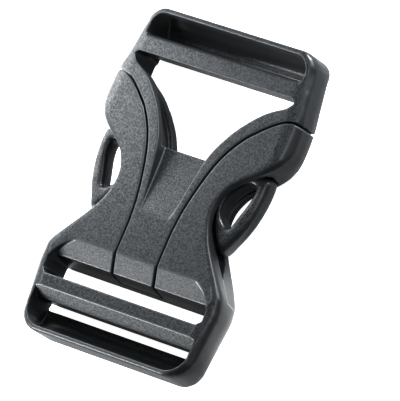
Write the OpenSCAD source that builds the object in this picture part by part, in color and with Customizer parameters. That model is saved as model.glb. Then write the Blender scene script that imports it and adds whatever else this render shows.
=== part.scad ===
// Side release buckle for wide webbing, shown fastened.
// Two mouldings: a plug whose spring arms end in release rings, and a socket with a
// ladder-lock strap frame. The buckle lies on its back: X runs along the strap bars,
// +Y points to the plug's end, +Z is the front face. All lengths are in millimetres.

/* [Overall] */
// Length from end bar to end bar
buckle_length = 94.2; // [88:0.2:112]
// Width of the webbing that the buckle is made for
strap_width = 50; // [48:0.5:60]
// Reach of each horn past the end of the socket's slots
horn_reach = 5.2; // [4.6:0.1:8]
// Thickness, back face to front face
thickness = 12.0; // [11:0.1:15]
// Running gap between plug and socket
seam_gap = 0.6; // [0.3:0.05:0.9]
// Thickness of the socket's front plate
front_plate_t = 2.2; // [1.8:0.1:3]
// Thickness of the socket's back plate
back_plate_t = 3.2; // [2.4:0.1:3.6]
// Factor on all radii of the back edge, round the outside
back_round = 1.2; // [1:0.05:1.3]

/* [Strap frames] */
// Room beside the webbing at each end of the plug's slot
plug_strap_play = 1.2; // [0.5:0.1:1.8]
// Room beside the webbing at each end of the socket's slots
socket_strap_play = 2.0; // [0.5:0.1:2.4]
// Side wall of the plug's frame at its end corners
plug_side_wall = 3.0; // [2.5:0.1:4]
// Side wall of the socket's frame at its end corners
socket_side_wall = 2.5; // [2.2:0.1:4]
// Radius of the plug's end corners, seen from the front
plug_corner_r = 6.0; // [3:0.5:9]
// Radius of the socket's end corners, seen from the front
socket_corner_r = 7.5; // [3:0.5:10]
// Flat rim of each end bar at the front face
rim_width = 1.5; // [1.2:0.1:3]
// Depth of the plug's end bar at the back face, below its scooped inner side
plug_bar_depth = 6.6; // [5:0.1:7.4]
// Depth of the socket's end bar at the back face, below its scooped inner side
socket_bar_depth = 7.5; // [5:0.1:8]
// Upright part of each scooped side, at the back face
scoop_lip = 1.2; // [0.5:0.1:2]

/* [Plug] */
// Front width of the plug's strap bar
strap_bar_width = 5.2; // [4:0.1:7]
// Depth of the plug's strap bar
strap_bar_depth = 6.2; // [4.5:0.1:7.5]
// Rounding of the strap bar's edge beside the slot
strap_bar_round = 1.4; // [0.5:0.1:2]
// Front opening between the end bar's rim and the strap bar
plug_slot_length = 6.6; // [5.6:0.1:8]
// Half width of the tongue, from its centre line to the seam
tongue_half = 7.0; // [5:0.1:9]
// Thickness of the ramp and tongue
tongue_t = 3.0; // [2.4:0.1:4]
// Depth of the ramp below the front face at its upper edge
ramp_drop = 4.2; // [2:0.1:5]
// Depth of the groove along the inner side of each leg
leg_groove = 1.1; // [0.5:0.1:1.6]
// Rounding of the open triangle's corners beside the strap bar
triangle_corner_r = 1.6; // [0.5:0.1:2]
// Height of each leg's back flange
leg_flange = 3.0; // [2:0.1:4]
// Thickening of each leg under the socket's front plate
leg_core = 1.4; // [0.6:0.1:2]
// Play of the spring arms between the socket's plates, above and below
arm_play = 0.3; // [0.2:0.05:0.5]
// Thickness of the arm where it passes its pillar
arm_thickness = 4.2; // [3:0.1:5]
// Gap between the arm and its pillar
arm_gap = 0.4; // [0.3:0.05:0.8]
// Rounding of the edges of the ring's hole
eye_edge = 1.5; // [0.6:0.1:2]

/* [Socket] */
// Front opening of the slot beside the tongue, with its bevel
inner_slot_length = 11.2; // [10:0.1:14]
// Width of the bevel that leads the strap into that slot
bevel_length = 5.3; // [3:0.1:6]
// Depth of that bevel below the front face
bevel_drop = 2.6; // [1:0.1:4]
// Lean of the wall below the bevel
wall_lean = 1.6; // [0.5:0.1:1.8]
// Swell of the curve across each upper corner of that slot
slot_swell = 1.0; // [0.4:0.1:1.6]
// Cut of its lower corners
slot_corner = 1.4; // [0.6:0.1:2]
// Flat front face of the gripper bar
gripper_flat = 3.5; // [2:0.1:5]
// Length of the gripper bar's sloping front face
gripper_slope = 3.0; // [2:0.1:4]
// Drop of the gripper bar's sloping front face
gripper_drop = 3.2; // [1.5:0.1:5]
// Clearance under the gripper bar
gripper_lift = 2.4; // [1:0.1:4]
// Front opening of the outer slot, from the gripper's crest to the end bar's rim
outer_slot_length = 10.7; // [10:0.1:14]
// Width of the pillars that join the plates under the horns
pillar_width = 7.2; // [5:0.1:8]
// Height of the front plate's side walls at the foot of the waist
waist_wall = 4.8; // [3:0.1:5.2]
// Thickness of those side walls
waist_wall_t = 1.4; // [1:0.1:2]

/* [Hidden] */

FINE = 4;            // curve points for each row of an outline table
ROUND_STEPS = 3;     // facets across a rounded edge
TURN = 90 / ROUND_STEPS;
CORNER_STEPS = 5;    // points round an end corner
SCOOP_STEPS = 4;     // facets of a scooped side
RING_BULGE = 0.6;    // most of a ring's width that its half-round outer side takes
EYE_SHARE = 0.35;    // most of a ring's width that its hole's rounding takes
PAST = 1;            // how far a cut runs past the face that it opens
FAR = 90;            // a coordinate outside the whole buckle
PLASTIC = [0.25, 0.26, 0.27];

plug_slot_width = strap_width + 2 * plug_strap_play;
socket_slot_width = strap_width + 2 * socket_strap_play;
plug_end_width = plug_slot_width + 2 * plug_side_wall;
socket_end_width = socket_slot_width + 2 * socket_side_wall;
horn_width = socket_slot_width + 2 * horn_reach;
half_w = horn_width / 2;
plug_end = buckle_length / 2;
socket_end = -buckle_length / 2;
play = seam_gap / 2;

// Stations along Y, worked out from both ends
plug_rim = plug_end - rim_width;
strap_bar_out = plug_rim - plug_slot_length;
strap_bar_in = strap_bar_out - strap_bar_width;
socket_rim = socket_end + rim_width;
crest_y = socket_rim + outer_slot_length;
gripper_out = crest_y - gripper_slope;
gripper_in = crest_y + gripper_flat;
slot_edge = gripper_in + inner_slot_length;
bevel_foot = slot_edge - bevel_length;
wall_foot = bevel_foot - wall_lean;
waist_length = strap_bar_in - slot_edge;

// Middle layer, where the spring arms work, between the socket's plates
layer_low = back_plate_t;
layer_high = thickness - front_plate_t;
layer_mid = (layer_low + layer_high) / 2;
pillar_in = half_w - pillar_width;
arm_out = pillar_in - arm_gap;
arm_in = arm_out - arm_thickness;
arm_low = layer_low + arm_play;
arm_high = layer_high - arm_play;

// Outline tables of the right half. x is a share of half the horn width, and y a share of
// the waist length, counted from the edge of the socket's inner slot.
// Columns of SIDE: x, y, front edge radius as a share of the thickness, and the same for the
// back edge
SIDE = [
    [0.954,  0.985, 0.38, 0.38],
    [0.985,  0.895, 0.40, 0.40],
    [1.000,  0.795, 0.42, 0.42],
    [0.989,  0.715, 0.38, 0.40],
    [0.922,  0.645, 0.25, 0.30],
    [0.812,  0.588, 0.14, 0.19],
    [0.680,  0.537, 0.09, 0.11],
    [0.578,  0.478, 0.08, 0.08],
    [0.514,  0.395, 0.06, 0.06],
    [0.522,  0.300, 0.06, 0.06],
    [0.590,  0.205, 0.07, 0.07],
    [0.698,  0.115, 0.09, 0.09],
    [0.815,  0.032, 0.14, 0.17],
    [0.912, -0.040, 0.21, 0.29],
    [0.943, -0.085, 0.32, 0.35],
    [0.957, -0.135, 0.38, 0.38],
    [0.947, -0.200, 0.38, 0.38]
];
CORNER_EDGE = 0.38;  // edge radius at the end corners' sides, same share
END_EDGE = 0.09;     // edge radius along the end bars, same share
// Columns of SEAM: x, y of the line where plug and socket meet on the front face
SEAM = [
    [1.200, 0.845],
    [1.049, 0.866],
    [0.966, 0.884],
    [0.871, 0.884],
    [0.782, 0.860],
    [0.695, 0.824],
    [0.619, 0.786],
    [0.538, 0.741],
    [0.462, 0.683],
    [0.397, 0.619],
    [0.347, 0.550],
    [0.304, 0.468],
    [0.267, 0.382],
    [0.240, 0.300],
    [0.225, 0.225],
    [0.217, 0.150]
];
// Columns of LEG: x, y of the inner edge of the plug's leg at the front face
LEG = [
    [0.833, 0.975],
    [0.789, 0.943],
    [0.700, 0.915],
    [0.608, 0.880],
    [0.506, 0.823],
    [0.419, 0.764],
    [0.349, 0.702],
    [0.287, 0.634],
    [0.249, 0.567],
    [0.224, 0.496],
    [0.204, 0.428],
    [0.185, 0.355],
    [0.167, 0.290],
    [0.150, 0.235]
];
// Columns of LEG_BACK: x, y of the same edge at the back face
LEG_BACK = [
    [0.833, 0.925],
    [0.735, 0.884],
    [0.630, 0.844],
    [0.534, 0.794],
    [0.457, 0.748],
    [0.370, 0.685],
    [0.299, 0.615],
    [0.262, 0.564],
    [0.240, 0.520]
];
// Columns of RING: x, y round the outside of the release ring from its shoulder, and x, y
// of the point across from it on the ring's hole
RING = [
    [0.867, 0.593, 0.762, 0.526],
    [0.883, 0.548, 0.765, 0.493],
    [0.883, 0.496, 0.755, 0.456],
    [0.873, 0.435, 0.734, 0.415],
    [0.852, 0.369, 0.712, 0.378],
    [0.814, 0.300, 0.693, 0.341],
    [0.765, 0.237, 0.678, 0.313],
    [0.697, 0.168, 0.653, 0.302],
    [0.636, 0.180, 0.622, 0.309],
    [0.574, 0.234, 0.585, 0.326],
    [0.513, 0.296, 0.547, 0.352],
    [0.470, 0.363, 0.529, 0.387],
    [0.460, 0.430, 0.535, 0.428],
    [0.488, 0.500, 0.569, 0.470],
    [0.557, 0.567, 0.619, 0.506],
    [0.650, 0.596, 0.675, 0.533],
    [0.774, 0.603, 0.724, 0.541]
];
// Columns of WALL: y along the waist, share of the side wall's drop below the front plate
WALL = [
    [0.270, 0.00],
    [0.235, 0.25],
    [0.200, 0.60],
    [0.170, 0.85],
    [0.140, 1.00]
];
// Columns of FACET: x, y of the two ends of the flat below each side wall
FACET = [
    [0.590,  0.205],
    [0.932, -0.067]
];
FACET_TURN_Y = -0.046; // where the flat's upper edge turns down to its end, share of the waist
ROOT_Y = 0.845;      // top of the arm, inside the leg, share of the waist length
GROOVE_Y = 0.830;    // upper end of the groove along each leg, same share
PILLAR_Y = 0.604;    // foot of the pillars, same share
WINDOW_Y = 0.045;    // lower end of the side windows, same share
RAMP_TOP_Y = 0.586;  // upper edge of the ramp, same share
RAMP_FOOT_Y = 0.235; // where the ramp reaches the front face, same share
NOTCH_Y = 0.500;     // foot of the back channel for the legs, same share

function along(share) = slot_edge + share * waist_length;
function place(x, y) = [x * half_w, along(y)];
function places(rows) = [for (row = rows) place(row[0], row[1])];

// Smooth curve through rows of any number of columns, open or closed
function blend(a, b, c, d, t) =
    0.5 * (2 * b + (c - a) * t + (2 * a - 5 * b + 4 * c - d) * t * t
    + (3 * b - a - 3 * c + d) * t * t * t);
function curve(p) = [
    for (i = [0 : len(p) - 2]) for (k = [0 : FINE - 1])
        blend(p[max(i - 1, 0)], p[i], p[i + 1], p[min(i + 2, len(p) - 1)], k / FINE),
    p[len(p) - 1]
];
function closed_curve(p) = let (n = len(p)) [
    for (i = [0 : n - 1]) for (k = [0 : FINE - 1])
        blend(p[(i + n - 1) % n], p[i], p[(i + 1) % n], p[(i + 2) % n], k / FINE)
];

// Unit vector from a to b, and the unit normal to the right of the way that the points run
function way(a, b) = let (d = [b[0] - a[0], b[1] - a[1]]) d / norm(d);
function right_of(p, i) = let (
    last = len(p) - 1,
    d = way(p[max(i - 1, 0)], p[max(i, 1)]) + way(p[min(i, last - 1)], p[min(i + 1, last)])
) [d[1], -d[0]] / norm(d);
function shifted(p, by) = [for (i = [0 : len(p) - 1]) [p[i][0], p[i][1]] + by * right_of(p, i)];
function reversed(p) = [for (i = [len(p) - 1 : -1 : 0]) p[i]];
function both(p) = concat(p, [for (q = reversed(p)) [-q[0], q[1]]]);
function between(line, low, high) = [for (p = line) if (p[1] > low && p[1] < high) p];

// Arc from angle a to angle b, whose edge radius runs from edge_a to edge_b
function arc(cx, cy, r, a, b, edge_a = 0, edge_b = 0) = [
    for (k = [0 : CORNER_STEPS]) let (s = k / CORNER_STEPS, t = a + (b - a) * s)
        let (edge = edge_a + (edge_b - edge_a) * s)
            [cx + r * cos(t), cy + r * sin(t), edge, edge * back_round]
];

// Right half of the buckle's outline, from the plug's end to the socket's: x, y, front and
// back edge radius
rim_line = concat(
    arc(plug_end_width / 2 - plug_corner_r, plug_end - plug_corner_r, plug_corner_r,
        90, 10, END_EDGE * thickness, CORNER_EDGE * thickness),
    curve([for (row = SIDE)
        [each place(row[0], row[1]), row[2] * thickness, row[3] * thickness * back_round]]),
    arc(socket_end_width / 2 - socket_corner_r, socket_end + socket_corner_r, socket_corner_r,
        -8, -90, CORNER_EDGE * thickness, END_EDGE * thickness)
);

// Closed skin over rings of points that all have the same count
function quad(a, b, c, d) = [[a, b, c], [a, c, d]];
function bands(rings, m, wrap) = [
    for (k = [0 : rings - (wrap ? 1 : 2)]) for (j = [0 : m - 1]) let (
        low = k * m, high = ((k + 1) % rings) * m, next = (j + 1) % m
    ) each quad(low + j, low + next, high + next, high + j)
];

// Solid of the full thickness over the mirrored outline, with its edges rounded
module soft_slab(half) {
    n = len(half);
    m = 2 * n;
    turns = [for (t = [0 : TURN : 90]) t];
    // Each level: base height, radii above it, inset in radii, the outline's column of radii
    levels = concat(
        [for (t = turns) [0, 1 - cos(t), 1 - sin(t), 3]],
        [for (t = reversed(turns)) [thickness, cos(t) - 1, 1 - sin(t), 2]]
    );
    function spot(i, v) = let (r = half[i][v[3]])
        [each [half[i][0], half[i][1]] + right_of(half, i) * r * v[2], v[0] + r * v[1]];
    points = [for (v = levels) let (right = [for (i = [0 : n - 1]) spot(i, v)])
        each concat(right, [for (q = reversed(right)) [-q[0], q[1], q[2]]])];
    top = (len(levels) - 1) * m;
    // The caps run as strips from side to side
    caps = [for (j = [0 : n - 2]) each concat(
        quad(j, m - 1 - j, m - 2 - j, j + 1),
        quad(top + j, top + j + 1, top + m - 2 - j, top + m - 1 - j)
    )];
    polyhedron(points = points, faces = concat(bands(len(levels), m, false), caps),
        convexity = 8);
}

// Prism across the buckle over a profile of y, z
module across(profile, width) {
    rotate([90, 0, 90])
        linear_extrude(height = width, center = true)
            polygon(profile);
}

// Prism over an outline of x, y between two heights
module layer(outline, low, high) {
    translate([0, 0, low])
        linear_extrude(height = high - low)
            polygon([for (p = outline) [p[0], p[1]]]);
}

module through(outline) {
    layer(outline, -PAST, thickness + PAST);
}

// Plan of the plug's body: all that lies beyond the seam, with the tongue down through the
// inner slot, drawn in by "gap" on the plug's side
seam_line = curve(places(SEAM));
tongue_line = concat(seam_line, [[tongue_half, slot_edge], [tongue_half, gripper_in + PAST]]);
function plug_plan(gap) = both(concat(
    [[FAR, FAR], [FAR, seam_line[0][1] + gap]],
    shifted(tongue_line, gap)
));

// Scooped inner side of an end bar, from its foot at the back face to its rim
function scoop(foot, rim) = [
    for (k = [0 : SCOOP_STEPS]) let (t = 90 * k / SCOOP_STEPS)
        [foot + (rim - foot) * sin(t), scoop_lip + (thickness - scoop_lip) * (1 - cos(t))]
];

// Cut of the socket's inner slot: a bevel, then a wall that leans in under the plates. A
// shallow curve crosses each upper corner.
module inner_slot() {
    half = socket_slot_width / 2;
    splay = bevel_length + wall_lean;
    chord = splay / sqrt(2);
    r = (chord * chord + slot_swell * slot_swell) / (2 * slot_swell);
    spread = asin(chord / r);
    centre = [half - splay / 2, slot_edge - splay / 2] - (r - slot_swell) / sqrt(2) * [1, 1];
    intersection() {
        through(both(concat(
            arc(centre[0], centre[1], r, 45 + spread, 45 - spread),
            [[half, gripper_in + slot_corner],
                [half - slot_corner, gripper_in]]
        )));
        across([
            [slot_edge, thickness],
            [bevel_foot, thickness - bevel_drop],
            [bevel_foot - wall_lean / 2, thickness / 2],
            [wall_foot, 0],
            [wall_foot, -PAST],
            [gripper_in, -PAST],
            [gripper_in, thickness + PAST],
            [slot_edge, thickness + PAST]
        ], horn_width);
    }
}

// Cut of the socket's outer slot, between the gripper's slope and the scooped end bar
module outer_slot() {
    r = socket_corner_r - rim_width;
    intersection() {
        through(both(concat(
            [[socket_slot_width / 2, crest_y]],
            arc(socket_slot_width / 2 - r, socket_rim + r, r, 0, -90)
        )));
        across(concat(
            [[crest_y, thickness + PAST],
                [crest_y, thickness],
                [gripper_out, thickness - gripper_drop],
                [gripper_out, -PAST],
                [socket_end + socket_bar_depth, -PAST]],
            scoop(socket_end + socket_bar_depth, socket_rim),
            [[socket_rim, thickness + PAST]]
        ), horn_width);
    }
}

// Cut of the plug's slot, between its strap bar and the scooped end bar
module plug_slot() {
    r = plug_corner_r - rim_width;
    intersection() {
        through(both(concat(
            arc(plug_slot_width / 2 - r, plug_rim - r, r, 90, 0),
            [[plug_slot_width / 2, strap_bar_out - strap_bar_round]]
        )));
        across(concat(
            [[strap_bar_out - strap_bar_round, thickness + PAST]],
            [for (t = [0 : TURN : 90]) [
                strap_bar_out - strap_bar_round * (1 - sin(t)),
                thickness - strap_bar_round * (1 - cos(t))
            ]],
            [[strap_bar_out, -PAST],
                [plug_end - plug_bar_depth, -PAST]],
            scoop(plug_end - plug_bar_depth, plug_rim),
            [[plug_rim, thickness + PAST]]
        ), horn_width);
    }
}

// Side walls that hang from the front plate's edges and close the foot of each side window
wall_low = thickness - waist_wall;
module side_walls() {
    foot = along(FACET[1][1]);
    line = between(curve(places(SIDE)), foot, along(WALL[0][0]) + waist_wall_t);
    intersection() {
        for (side = [0, 1])
            mirror([side, 0, 0])
                through(concat(shifted(line, waist_wall_t), [[FAR, foot], [FAR, line[0][1]]]));
        across(concat(
            [[along(WALL[0][0]), layer_high + PAST]],
            [for (row = WALL) [along(row[0]), layer_high - row[1] * (layer_high - wall_low)]],
            [[along(WINDOW_Y), wall_low],
                [along(WALL[4][0]), layer_low],
                [along(WALL[4][0]), layer_low - PAST],
                [foot, layer_low - PAST],
                [foot, layer_high + PAST]]
        ), 2 * FAR);
    }
}

// Cut below each side wall, back to a flat that ends in a corner beside the frame
module side_flats() {
    high = places(FACET)[0];
    low = places(FACET)[1];
    intersection() {
        for (side = [0, 1])
            mirror([side, 0, 0])
                through([high, low, [FAR, low[1]], [FAR, high[1]]]);
        across([
            [high[1], wall_low],
            [along(FACET_TURN_Y), wall_low],
            [low[1], layer_low],
            [low[1], -PAST],
            [high[1], -PAST]
        ], 2 * FAR);
    }
}

// Middle layer of the socket: open at its mouth and at both side windows, with a pillar
// left standing under each horn
module socket_cavity() {
    half = socket_slot_width / 2;
    difference() {
        layer(both([
            [pillar_in, FAR],
            [pillar_in, along(PILLAR_Y)],
            [FAR, along(PILLAR_Y)],
            [FAR, along(WINDOW_Y)],
            [half, along(WINDOW_Y)],
            [half - bevel_length, slot_edge + wall_lean],
            [tongue_half + wall_lean, slot_edge + wall_lean]
        ]), layer_low, layer_high);
        side_walls();
    }
}

// Front channel for the legs and tongue, and the shorter back channel for the legs
module socket_channels() {
    layer(plug_plan(-play), layer_low, thickness + PAST);
    intersection() {
        through(plug_plan(-play));
        translate([-FAR, along(NOTCH_Y), -PAST])
            cube([2 * FAR, FAR, thickness + 2 * PAST]);
    }
}

module socket() {
    color(PLASTIC)
        difference() {
            soft_slab(rim_line);
            socket_channels();
            socket_cavity();
            side_flats();
            inner_slot();
            outer_slot();
            // Passage for the strap under the gripper bar
            across([
                [gripper_in + PAST, -PAST],
                [gripper_in + PAST, gripper_lift],
                [gripper_out - PAST, gripper_lift],
                [gripper_out - PAST, -PAST]
            ], socket_slot_width);
        }
}

// Open triangle between the legs, the strap bar and the ramp, with the groove that leaves
// a front and a back flange along each leg
leg_line = curve(places(LEG));
leg_back_line = curve(places(LEG_BACK));
groove_line = [
    for (i = [0 : len(leg_back_line) - 1])
        let (fade = (along(GROOVE_Y) - leg_back_line[i][1]) / leg_flange)
            leg_back_line[i] - leg_groove * max(0, min(1, fade)) * right_of(leg_back_line, i)
];
module triangle(line, low, high) {
    corner = [line[0][0], strap_bar_in] - triangle_corner_r * [1, 1];
    layer(both(concat(
        arc(corner[0], corner[1], triangle_corner_r, 90, 0),
        between(line, -FAR, corner[1])
    )), low, high);
}
module open_triangle() {
    intersection() {
        union() {
            triangle(leg_line, layer_high, thickness + PAST);
            triangle(groove_line, leg_flange, layer_high);
            triangle(leg_back_line, -PAST, leg_flange);
        }
        translate([-FAR, along(RAMP_TOP_Y), -PAST])
            cube([2 * FAR, FAR, thickness + 2 * PAST]);
    }
}

// Hollow above the ramp, between the legs
module ramp_hollow() {
    intersection() {
        layer(both(leg_line), 0, thickness + PAST);
        across([
            [along(RAMP_TOP_Y) + 2 * PAST, thickness - ramp_drop],
            [along(RAMP_TOP_Y), thickness - ramp_drop],
            [along(RAMP_FOOT_Y), thickness],
            [along(RAMP_FOOT_Y), thickness + PAST],
            [along(RAMP_TOP_Y) + 2 * PAST, thickness + PAST]
        ], horn_width);
    }
}

// All of the plug but its spring arms
module plug_body() {
    block_low = layer_low + play;
    difference() {
        union() {
            intersection() {
                soft_slab(rim_line);
                through(plug_plan(play));
            }
            // Thicker legs under the socket's front plate
            intersection() {
                layer(plug_plan(play - leg_core), arm_low, arm_high);
                translate([-arm_in - PAST, along(NOTCH_Y) + seam_gap, 0])
                    cube([2 * (arm_in + PAST), along(ROOT_Y) - along(NOTCH_Y), thickness]);
            }
        }
        plug_slot();
        inner_slot();
        open_triangle();
        ramp_hollow();
        // Space behind the strap bar
        across([
            [strap_bar_out + PAST, -PAST],
            [strap_bar_out + PAST, thickness - strap_bar_depth],
            [strap_bar_in - triangle_corner_r, thickness - strap_bar_depth],
            [strap_bar_in - triangle_corner_r, -PAST]
        ], plug_slot_width);
        // Space behind the ramp and tongue, down to the block that closes the channel
        across([
            [along(NOTCH_Y) + play, -PAST],
            [along(NOTCH_Y) + play, thickness - ramp_drop - tongue_t],
            [along(RAMP_FOOT_Y), thickness - tongue_t],
            [slot_edge, thickness - tongue_t],
            [slot_edge, block_low],
            [gripper_in, block_low],
            [gripper_in, -PAST]
        ], horn_width);
    }
}

// Spring arm on the right side, from its root on the frame down to its release ring
module spring_arm() {
    stem_foot = along((RING[0][1] + RING[0][3]) / 2);
    layer([
        [arm_in, along(ROOT_Y)],
        [arm_out, along(ROOT_Y)],
        [arm_out, along(PILLAR_Y) - arm_gap],
        [arm_out - eye_edge, stem_foot],
        [arm_in, stem_foot]
    ], arm_low, arm_high);
    release_ring();
}

// Ring with a half-round outer side and softly rounded hole
module release_ring() {
    rows = closed_curve(RING);
    half_t = (arm_high - arm_low) / 2;
    function section(row) = let (
        eye = place(row[2], row[3]),
        rim = place(row[0], row[1]),
        wide = norm(rim - eye),
        out = (rim - eye) / wide,
        bulge = min(half_t, RING_BULGE * wide),
        e = min(eye_edge, EYE_SHARE * wide),
        profile = concat(
            [for (t = [0 : TURN : 90]) [e * (1 - cos(t)), arm_high - e * (1 - sin(t))]],
            [for (t = [90 : -TURN : -90])
                [wide - bulge + bulge * cos(t), layer_mid + half_t * sin(t)]],
            [for (t = [90 : -TURN : 0]) [e * (1 - cos(t)), arm_low + e * (1 - sin(t))]]
        )
    ) [for (p = profile) [each eye + out * p[0], p[1]]];
    rings = [for (row = rows) section(row)];
    m = len(rings[0]);
    polyhedron(points = [for (ring = rings) each ring], faces = bands(len(rings), m, true),
        convexity = 6);
}

module plug() {
    color(PLASTIC)
        union() {
            plug_body();
            for (side = [0, 1])
                mirror([side, 0, 0])
                    spring_arm();
        }
}

plug();
socket();
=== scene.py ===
import math
import bmesh
import bpy
import numpy as np
from mathutils import Matrix, Vector
from mathutils.kdtree import KDTree


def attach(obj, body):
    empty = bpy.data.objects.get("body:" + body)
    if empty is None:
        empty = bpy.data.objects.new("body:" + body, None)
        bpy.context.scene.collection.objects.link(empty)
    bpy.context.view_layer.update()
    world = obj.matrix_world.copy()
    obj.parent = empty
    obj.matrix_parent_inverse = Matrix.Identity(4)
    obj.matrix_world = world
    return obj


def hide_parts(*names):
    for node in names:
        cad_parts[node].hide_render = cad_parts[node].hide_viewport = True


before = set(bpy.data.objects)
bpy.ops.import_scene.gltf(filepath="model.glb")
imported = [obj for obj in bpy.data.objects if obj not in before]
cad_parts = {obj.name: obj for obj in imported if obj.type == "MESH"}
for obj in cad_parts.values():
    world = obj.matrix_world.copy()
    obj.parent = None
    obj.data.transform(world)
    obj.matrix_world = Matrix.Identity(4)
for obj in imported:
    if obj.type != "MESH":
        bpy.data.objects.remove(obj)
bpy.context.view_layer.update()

# The table and the lamps. A pale matt table top in a dim room. Two small lamps stand close on
# the left with a tall one beyond them, one low in front, one high on the right, two at the back.
# The camera sees the table glow evenly. At the buckle it throws little, but for two bright pools.
TABLE_SIZE = 3.0
TABLE_DROP = 0.00002
TABLE_COLOUR = (0.86, 0.865, 0.87, 1)
TABLE_ROUGHNESS = 0.9
TABLE_SPECULAR = 0.1
TABLE_GLOW = 0.97
TABLE_THROW = 0.12
POOL_EDGE = 0.008
# Columns: middle in x and y of a pool of light on the table, half its size in x and y, strength
POOLS = [
    (-0.300, 0.200, 0.263, 0.240, 1.35),
    (0.127, -0.024, 0.100, 0.010, 1.7),
]
# Columns: name, place, width, height, watts, colour
LAMPS = [
    ("near_left", (-0.090, 0.030, 0.060), 0.05, 0.08, 0.118, (0.965, 0.985, 1.0)),
    ("near_back", (-0.100, 0.080, 0.070), 0.06, 0.08, 0.078, (0.965, 0.985, 1.0)),
    ("left_wall", (-0.45, 0.04, 0.08), 0.12, 0.60, 1.0, (0.98, 0.99, 1.0)),
    ("low_front", (-0.28, -0.34, 0.16), 0.20, 0.14, 3.5, (0.965, 0.985, 1.0)),
    ("right_high", (0.30, 0.05, 0.38), 0.20, 0.20, 0.80, (0.95, 0.98, 1.0)),
    ("back_right", (0.28, 0.35, 0.20), 0.25, 0.20, 1.5, (0.95, 0.98, 1.0)),
    ("back_spot", (0.12, 0.48, 0.15), 0.08, 0.06, 3.2, (1.0, 1.0, 1.0)),
]
ROOM_SEEN = (0.9, 0.905, 0.91, 1)
ROOM_SEEN_STRENGTH = 1.0
ROOM_LIGHT = (0.80, 0.86, 0.92, 1)
ROOM_LIGHT_STRENGTH = 0.01
scene = bpy.context.scene


def fresh_material(name):
    """An empty node material, its nodes and links, and its surface shader."""
    material = bpy.data.materials.new(name)
    material.use_nodes = True
    nodes = material.node_tree.nodes
    nodes.clear()
    out = nodes.new("ShaderNodeOutputMaterial")
    shader = nodes.new("ShaderNodeBsdfPrincipled")
    material.node_tree.links.new(shader.outputs["BSDF"], out.inputs["Surface"])
    return material, nodes, material.node_tree.links, shader


def feed(links, socket, given):
    """Set a node's socket to a number or colour, or link another node's output to it."""
    if isinstance(given, bpy.types.NodeSocket):
        links.new(given, socket)
    else:
        socket.default_value = given


def maths(nodes, links, operation, *given):
    """Output of a Math node on the given numbers or outputs."""
    node = nodes.new("ShaderNodeMath")
    node.operation = operation
    for socket, value in zip(node.inputs, given):
        feed(links, socket, value)
    return node.outputs["Value"]


def ranged(nodes, links, value, start, end, low, high):
    """Output that goes from low to high while the value goes from start to end."""
    node = nodes.new("ShaderNodeMapRange")
    feed(links, node.inputs["Value"], value)
    feed(links, node.inputs["From Min"], start)
    feed(links, node.inputs["From Max"], end)
    feed(links, node.inputs["To Min"], low)
    feed(links, node.inputs["To Max"], high)
    return node.outputs["Result"]


def mesh_object(name, mesh):
    thing = bpy.data.objects.new(name, mesh)
    scene.collection.objects.link(thing)
    return thing


table_bm = bmesh.new()
bmesh.ops.create_grid(table_bm, x_segments=1, y_segments=1, size=TABLE_SIZE / 2)
bmesh.ops.translate(table_bm, verts=table_bm.verts, vec=(0, 0, -TABLE_DROP))
table_mesh = bpy.data.meshes.new("table_top")
table_bm.to_mesh(table_mesh)
table_bm.free()
table_top = mesh_object("table_top", table_mesh)
table_paint, nodes, links, shader = fresh_material("pale_table")
shader.inputs["Base Color"].default_value = TABLE_COLOUR
shader.inputs["Roughness"].default_value = TABLE_ROUGHNESS
shader.inputs["Specular IOR Level"].default_value = TABLE_SPECULAR
shader.inputs["Emission Color"].default_value = (1, 1, 1, 1)
where = nodes.new("ShaderNodeTexCoord")
axes = nodes.new("ShaderNodeSeparateXYZ")
links.new(where.outputs["Object"], axes.inputs["Vector"])
thrown = TABLE_THROW
for middle_x, middle_y, half_x, half_y, strength in POOLS:
    lit = []
    for axis, middle, half in (("X", middle_x, half_x), ("Y", middle_y, half_y)):
        off = maths(nodes, links, "SUBTRACT", axes.outputs[axis], middle)
        away = maths(nodes, links, "ABSOLUTE", off)
        lit.append(ranged(nodes, links, away, half + POOL_EDGE, half, 0.0, 1.0))
    pool = maths(nodes, links, "MULTIPLY", *lit)
    thrown = maths(nodes, links, "MULTIPLY_ADD", pool, strength, thrown)
path = nodes.new("ShaderNodeLightPath")
glow = ranged(nodes, links, path.outputs["Is Camera Ray"], 0.0, 1.0, thrown, TABLE_GLOW)
links.new(glow, shader.inputs["Emission Strength"])
table_mesh.materials.append(table_paint)

for name, place, width, height, watts, colour in LAMPS:
    lamp = bpy.data.lights.new(name, "AREA")
    lamp.shape = "RECTANGLE"
    lamp.size = width
    lamp.size_y = height
    lamp.energy = watts
    lamp.color = colour
    stand = bpy.data.objects.new(name, lamp)
    scene.collection.objects.link(stand)
    stand.location = place
    stand.rotation_mode = "QUATERNION"
    stand.rotation_quaternion = Vector(place).to_track_quat("Z", "Y")
    stand.visible_camera = False

room = bpy.data.worlds.new("room")
scene.world = room
room.use_nodes = True
nodes = room.node_tree.nodes
links = room.node_tree.links
nodes.clear()
seen = nodes.new("ShaderNodeBackground")
seen.inputs["Color"].default_value = ROOM_SEEN
seen.inputs["Strength"].default_value = ROOM_SEEN_STRENGTH
dim = nodes.new("ShaderNodeBackground")
dim.inputs["Color"].default_value = ROOM_LIGHT
dim.inputs["Strength"].default_value = ROOM_LIGHT_STRENGTH
path = nodes.new("ShaderNodeLightPath")
pick = nodes.new("ShaderNodeMixShader")
out = nodes.new("ShaderNodeOutputWorld")
links.new(path.outputs["Is Camera Ray"], pick.inputs["Fac"])
links.new(dim.outputs["Background"], pick.inputs[1])
links.new(seen.outputs["Background"], pick.inputs[2])
links.new(pick.outputs["Shader"], out.inputs["Surface"])

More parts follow.
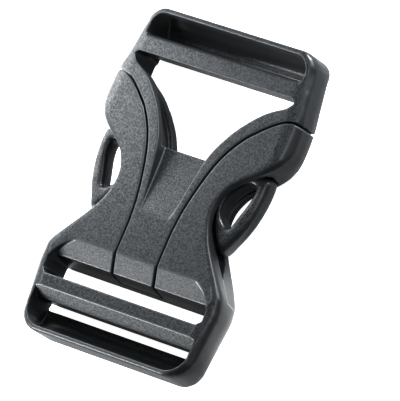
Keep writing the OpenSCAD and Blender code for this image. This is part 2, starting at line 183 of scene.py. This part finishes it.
# The camera. It stands over the buckle's right side and looks down at 55 degrees, turned so
# that the plug's end points up and to the right in the picture, and prints mid-tones dark.
CAMERA_BACK = Vector((0.56136, -0.11774, 0.81915))
CAMERA_RIGHT = Vector((0.78471, 0.39015, -0.48168))
CAMERA_UP = Vector((-0.26288, 0.91319, 0.31141))
CAMERA_DISTANCE = 1.6029
CAMERA_SIDESTEP = 0.00348
CAMERA_RISE = 0.00082
CAMERA_LENS = 538.65
CAMERA_SENSOR = 36.0
NEAREST_SEEN = 0.05
FURTHEST_SEEN = 20.0
# Below 1 it darkens the mid-tones and leaves black and white as they are
PRINT_GAMMA = 0.72
lens = bpy.data.cameras.new("camera")
lens.sensor_width = CAMERA_SENSOR
lens.lens = CAMERA_LENS
lens.clip_start = NEAREST_SEEN
lens.clip_end = FURTHEST_SEEN
camera = bpy.data.objects.new("camera", lens)
scene.collection.objects.link(camera)
camera.matrix_world = Matrix.Translation(
    CAMERA_BACK * CAMERA_DISTANCE + CAMERA_RIGHT * CAMERA_SIDESTEP + CAMERA_UP * CAMERA_RISE
) @ Matrix((CAMERA_RIGHT, CAMERA_UP, CAMERA_BACK)).transposed().to_4x4()
scene.camera = camera
scene.view_settings.view_transform = "Standard"
scene.view_settings.look = "None"
scene.view_settings.gamma = PRINT_GAMMA

# The plug. One injection moulding in dark grey acetal: end frame, strap bar, two legs with the
# ramp and tongue between them, and two spring arms that end in release rings. Its front faces
# keep the spark-eroded grain of the tool, and its rounded edges come out smooth and satin.
PLUG_COLOUR = (0.030, 0.0325, 0.035)
# Places along y of the creases across the front, in millimetres as all lengths down to MM
PLUG_CREASES = (-20.2,)
FRONT_Z = 12.0
NEAR_FRONT = 0.05
SAME_POINT = 0.002
FLAT_ANGLE = math.radians(0.3)
CREASE_ANGLE = math.radians(5)
HARD_ANGLE = math.radians(40)
LONGEST_FACET = 3
FACET_REACH_X = 32
FACET_REACH_Y = 47
# How far the facets are drawn out towards the curve: 0 would leave them flat
ROUNDING = 0.53
MOULD_STEP = 0.22
SMOOTHING = 0.5
MOULD_PASSES = 6
BROAD_PASSES = 28
BROAD_LEVELS = 10
EDGE_STEP = 0.5
EDGE_NEAR = 0.4
EDGE_FAR = 1.6
EDGE_LINE = 0.2
MM = 1000
MOST_TRIANGLES = 170000
# How squarely a face must look up to be grained, and over what range the grain comes in
FRONT_FACING = 0.80
FRONT_BLEND = 0.14
# The same for the gripper's slope, which looks up and towards the socket's end
SLOPE_UP = 0.60
SLOPE_DOWN = 0.62
SLOPE_BLEND = 0.05
PIT_SCALE = 2300.0
PIT_DETAIL = 2.0
PIT_ROUGHNESS = 0.6
PIT_LOW = 0.34
PIT_HIGH = 0.66
PIT_LIGHT_AT = 0.68
PIT_DARK = 0.30
PIT_LIGHT = 2.8
PIT_DEPTH = 0.00012
GRAIN_BUMP = 0.6
SATIN_BUMP = 0.06
GRAIN_ROUGH = 0.55
GRAIN_SMOOTH = 0.36
SATIN_ROUGHNESS = 0.32
FLOW_SCALE = 90.0
FLOW_DETAIL = 3.0
FLOW_DARK = 0.92
FLOW_DARK_AT = 0.3
FLOW_LIGHT = 1.08
FLOW_LIGHT_AT = 0.7
# Painted highlight: how many times paler the colour is within EDGE_LINE of the hard edges, fading
# out by twice that
EDGE_HIGHLIGHT_LIFT = 3.2
ACETAL_SPECULAR = 0.5


def solid_in_mm(node):
    """A node's solid as a bmesh in millimetres, with its loose triangles joined."""
    bm = bmesh.new()
    bm.from_mesh(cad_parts[node].data)
    bmesh.ops.scale(bm, verts=bm.verts, vec=(MM, MM, MM))
    bmesh.ops.remove_doubles(bm, verts=bm.verts, dist=SAME_POINT)
    return bm


def drawn_out(node, creases):
    """Copy of a node's solid, in millimetres, whose facets are drawn out to true curves: each
    point is pulled towards the planes that its facet's corners lie in, up to the hard edges."""
    bm = solid_in_mm(node)
    bmesh.ops.dissolve_limit(
        bm, angle_limit=FLAT_ANGLE, use_dissolve_boundaries=False,
        verts=bm.verts, edges=bm.edges,
    )
    bm.normal_update()
    span = bm.faces.layers.float.new("span")
    for face in bm.faces:
        face[span] = face.calc_area()
    for axis, reach in (((1, 0, 0), FACET_REACH_X), ((0, 1, 0), FACET_REACH_Y)):
        for at in range(-reach, reach + 1, LONGEST_FACET):
            bmesh.ops.bisect_plane(
                bm, geom=bm.verts[:] + bm.edges[:] + bm.faces[:], dist=SAME_POINT,
                plane_co=[at * share for share in axis], plane_no=axis,
            )
    bm.normal_update()

    def lean(face, v):
        """Mean normal of the faces round v that run softly on from this one."""
        on_front = v.co.z > FRONT_Z - NEAR_FRONT
        creased = on_front and any(abs(v.co.y - y) < NEAR_FRONT for y in creases)
        most = CREASE_ANGLE if creased else HARD_ANGLE
        near = (f for f in v.link_faces if f.normal.angle(face.normal, 0) < most)
        return sum((f.normal * f[span] for f in near), Vector()).normalized()

    leans = [[lean(face, v) for v in face.verts] for face in bm.faces]
    bmesh.ops.split_edges(bm, edges=bm.edges)
    for name in ("pull_x", "pull_y", "pull_z", "rest"):
        bm.verts.layers.float_vector.new(name)
    pull = [bm.verts.layers.float_vector[f"pull_{k}"] for k in "xyz"]
    rest = bm.verts.layers.float_vector["rest"]
    for face, normals in zip(bm.faces, leans):
        for v, n in zip(face.verts, normals):
            for k in range(3):
                v[pull[k]] = n * n[k]
            v[rest] = n * n.dot(v.co)
    bmesh.ops.triangulate(bm, faces=bm.faces)
    bmesh.ops.subdivide_edges(bm, edges=bm.edges, cuts=2, use_grid_fill=True)
    for v in bm.verts:
        pulled = Vector([v[pull[k]].dot(v.co) for k in range(3)])
        v.co -= ROUNDING * (pulled - v[rest])
    mesh = bpy.data.meshes.new("drawn_out")
    bm.to_mesh(mesh)
    bm.free()
    return mesh


def baked(thing, name):
    """Mesh of an object with its modifiers applied. The object and its old mesh go."""
    graph = bpy.context.evaluated_depsgraph_get()
    mesh = bpy.data.meshes.new_from_object(thing.evaluated_get(graph))
    mesh.name = name
    old = thing.data
    bpy.data.objects.remove(thing)
    bpy.data.meshes.remove(old)
    return mesh


def hard_edge_points(node, creases):
    """Lookup of how near a point is to the node's hard edges. They include the low edges on the
    front, from the lowest crease to the socket's end, where the bevel and the gripper bar are."""
    bm = solid_in_mm(node)
    found = []
    for edge in bm.edges:
        a, b = (v.co for v in edge.verts)
        turn = edge.calc_face_angle(0)
        on_front = min(a.z, b.z) > FRONT_Z - NEAR_FRONT
        below_crease = max(a.y, b.y) < min(creases) + NEAR_FRONT
        if turn > HARD_ANGLE or (on_front and below_crease and turn > CREASE_ANGLE):
            steps = max(1, round((b - a).length / EDGE_STEP))
            found.extend(a.lerp(b, k / steps) for k in range(steps + 1))
    bm.free()
    tree = KDTree(len(found))
    for number, point in enumerate(found):
        tree.insert(point, number)
    tree.balance()
    return tree


def weigh_broad_faces(thing, tree):
    """Vertex group "broad": 0 beside the hard edges, 1 out on the broad faces."""
    group = thing.vertex_groups.new(name="broad")
    levels = [[] for _ in range(BROAD_LEVELS + 1)]
    for v in thing.data.vertices:
        away = tree.find(v.co)[2]
        share = min(max((away - EDGE_NEAR) / (EDGE_FAR - EDGE_NEAR), 0), 1)
        levels[round(BROAD_LEVELS * share)].append(v.index)
    for level, members in enumerate(levels):
        group.add(members, level / BROAD_LEVELS, "REPLACE")


def moulding(node, name, creases):
    """The node's solid as it leaves the tool: closed, curved, and with every edge run soft. Its
    point attribute "edge" is 1 within EDGE_LINE of a hard edge, and 0 from twice that on."""
    rough = mesh_object(name, drawn_out(node, creases))
    skin = rough.modifiers.new("skin", "REMESH")
    skin.mode = "VOXEL"
    skin.voxel_size = MOULD_STEP
    soften = rough.modifiers.new("soften", "SMOOTH")
    soften.factor = SMOOTHING
    soften.iterations = MOULD_PASSES
    closed = mesh_object(name, baked(rough, name))
    tree = hard_edge_points(node, creases)
    weigh_broad_faces(closed, tree)
    even = closed.modifiers.new("even", "SMOOTH")
    even.factor = SMOOTHING
    even.iterations = BROAD_PASSES
    even.vertex_group = "broad"
    fewer = closed.modifiers.new("fewer", "DECIMATE")
    fewer.ratio = min(1.0, MOST_TRIANGLES / (2 * len(closed.data.polygons)))
    mesh = baked(closed, name)
    # The "edge" attribute carries a painted highlight: the share of a thin paler line along the
    # hard edges
    away = np.array([tree.find(v.co)[2] for v in mesh.vertices])
    painted_highlight = np.clip(2 - away / EDGE_LINE, 0, 1).astype(np.float32)
    mesh.attributes.new("edge", "FLOAT", "POINT").data.foreach_set("value", painted_highlight)
    mesh.transform(Matrix.Scale(1 / MM, 4))
    mesh.polygons.foreach_set("use_smooth", np.ones(len(mesh.polygons), bool))
    return mesh


def grain_by_face(mesh):
    """Point attribute "grain": 1 on the grained front and gripper faces, 0 on the satin sides."""
    normals = np.empty(len(mesh.vertices) * 3, np.float32)
    mesh.vertex_normals.foreach_get("vector", normals)
    facing = normals.reshape(-1, 3)[:, 2]
    sloping = -normals.reshape(-1, 3)[:, 1]
    front = np.clip((facing - FRONT_FACING) / FRONT_BLEND, 0, 1)
    slope_up = np.clip((facing - SLOPE_UP) / SLOPE_BLEND, 0, 1)
    slope_down = np.clip((sloping - SLOPE_DOWN) / SLOPE_BLEND, 0, 1)
    share = np.maximum(front, slope_up * slope_down)
    layer = mesh.attributes.new("grain", "FLOAT", "POINT")
    layer.data.foreach_set("value", (share * share * (3 - 2 * share)).astype(np.float32))


def tint(colour, share):
    """A shader's colour, that many times as bright as the plain one."""
    return tuple(c * share for c in colour) + (1,)


def two_tone(nodes, links, value, colour, dark, dark_at, light, light_at):
    """Colour that runs from a darker to a lighter tint between two places of the value."""
    ramp = nodes.new("ShaderNodeValToRGB")
    ramp.color_ramp.elements[0].position = dark_at
    ramp.color_ramp.elements[0].color = tint(colour, dark)
    ramp.color_ramp.elements[1].position = light_at
    ramp.color_ramp.elements[1].color = tint(colour, light)
    links.new(value, ramp.inputs["Fac"])
    return ramp.outputs["Color"]


def mixed(nodes, links, share, first, second):
    """Colour that goes from the first to the second as the share goes from 0 to 1."""
    mix = nodes.new("ShaderNodeMix")
    mix.data_type = "RGBA"
    feed(links, mix.inputs["Factor"], share)
    feed(links, mix.inputs["A"], first)
    feed(links, mix.inputs["B"], second)
    return mix.outputs["Result"]


def noise(nodes, links, place, scale, detail):
    node = nodes.new("ShaderNodeTexNoise")
    node.inputs["Scale"].default_value = scale
    node.inputs["Detail"].default_value = detail
    links.new(place, node.inputs["Vector"])
    return node


def painted(nodes, name):
    """Output of one of the moulding's point attributes."""
    node = nodes.new("ShaderNodeAttribute")
    node.attribute_name = name
    return node.outputs["Fac"]


def acetal(name, colour):
    """Dark acetal: satin where the tool was polished, finely pitted where it was eroded, and
    with a painted highlight: a thin paler line along the edges."""
    material, nodes, links, shader = fresh_material(name)
    place = nodes.new("ShaderNodeTexCoord").outputs["Object"]
    grain = painted(nodes, "grain")
    pit_noise = noise(nodes, links, place, PIT_SCALE, PIT_DETAIL)
    pit_noise.inputs["Roughness"].default_value = PIT_ROUGHNESS
    pits = pit_noise.outputs["Fac"]
    flow = noise(nodes, links, place, FLOW_SCALE, FLOW_DETAIL).outputs["Fac"]
    speck = two_tone(nodes, links, pits, colour, PIT_DARK, PIT_LOW, PIT_LIGHT, PIT_LIGHT_AT)
    plain = two_tone(nodes, links, flow, colour, FLOW_DARK, FLOW_DARK_AT, FLOW_LIGHT, FLOW_LIGHT_AT)
    skin = mixed(nodes, links, grain, plain, speck)
    # Painted highlight: the colour is made paler in a thin line along the hard edges, by the "edge"
    # attribute
    painted_highlight = mixed(nodes, links, painted(nodes, "edge"), skin, tint(colour, EDGE_HIGHLIGHT_LIFT))
    links.new(painted_highlight, shader.inputs["Base Color"])
    pitted = ranged(nodes, links, pits, PIT_LOW, PIT_HIGH, GRAIN_ROUGH, GRAIN_SMOOTH)
    gloss = ranged(nodes, links, grain, 0.0, 1.0, SATIN_ROUGHNESS, pitted)
    links.new(gloss, shader.inputs["Roughness"])
    depth = ranged(nodes, links, grain, 0.0, 1.0, SATIN_BUMP, GRAIN_BUMP)
    bump = nodes.new("ShaderNodeBump")
    bump.inputs["Distance"].default_value = PIT_DEPTH
    links.new(depth, bump.inputs["Strength"])
    links.new(pits, bump.inputs["Height"])
    links.new(bump.outputs["Normal"], shader.inputs["Normal"])
    shader.inputs["Specular IOR Level"].default_value = ACETAL_SPECULAR
    return material


plug_mesh = moulding("plug", "plug_moulding", PLUG_CREASES)
grain_by_face(plug_mesh)
plug = mesh_object("plug_moulding", plug_mesh)
plug_mesh.materials.append(acetal("acetal_plug", PLUG_COLOUR))
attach(plug, "root")
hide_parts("plug")

# The socket. One moulding in the same acetal: two flared horns, a front and a back plate with a
# hollow between them for the spring arms, and the ladder-lock frame with its gripper bar.
SOCKET_COLOUR = (0.030, 0.0325, 0.035)
SOCKET_CREASES = (-20.2,)
socket_mesh = moulding("socket", "socket_moulding", SOCKET_CREASES)
grain_by_face(socket_mesh)
socket = mesh_object("socket_moulding", socket_mesh)
socket_mesh.materials.append(acetal("acetal_socket", SOCKET_COLOUR))
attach(socket, "root")
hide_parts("socket")
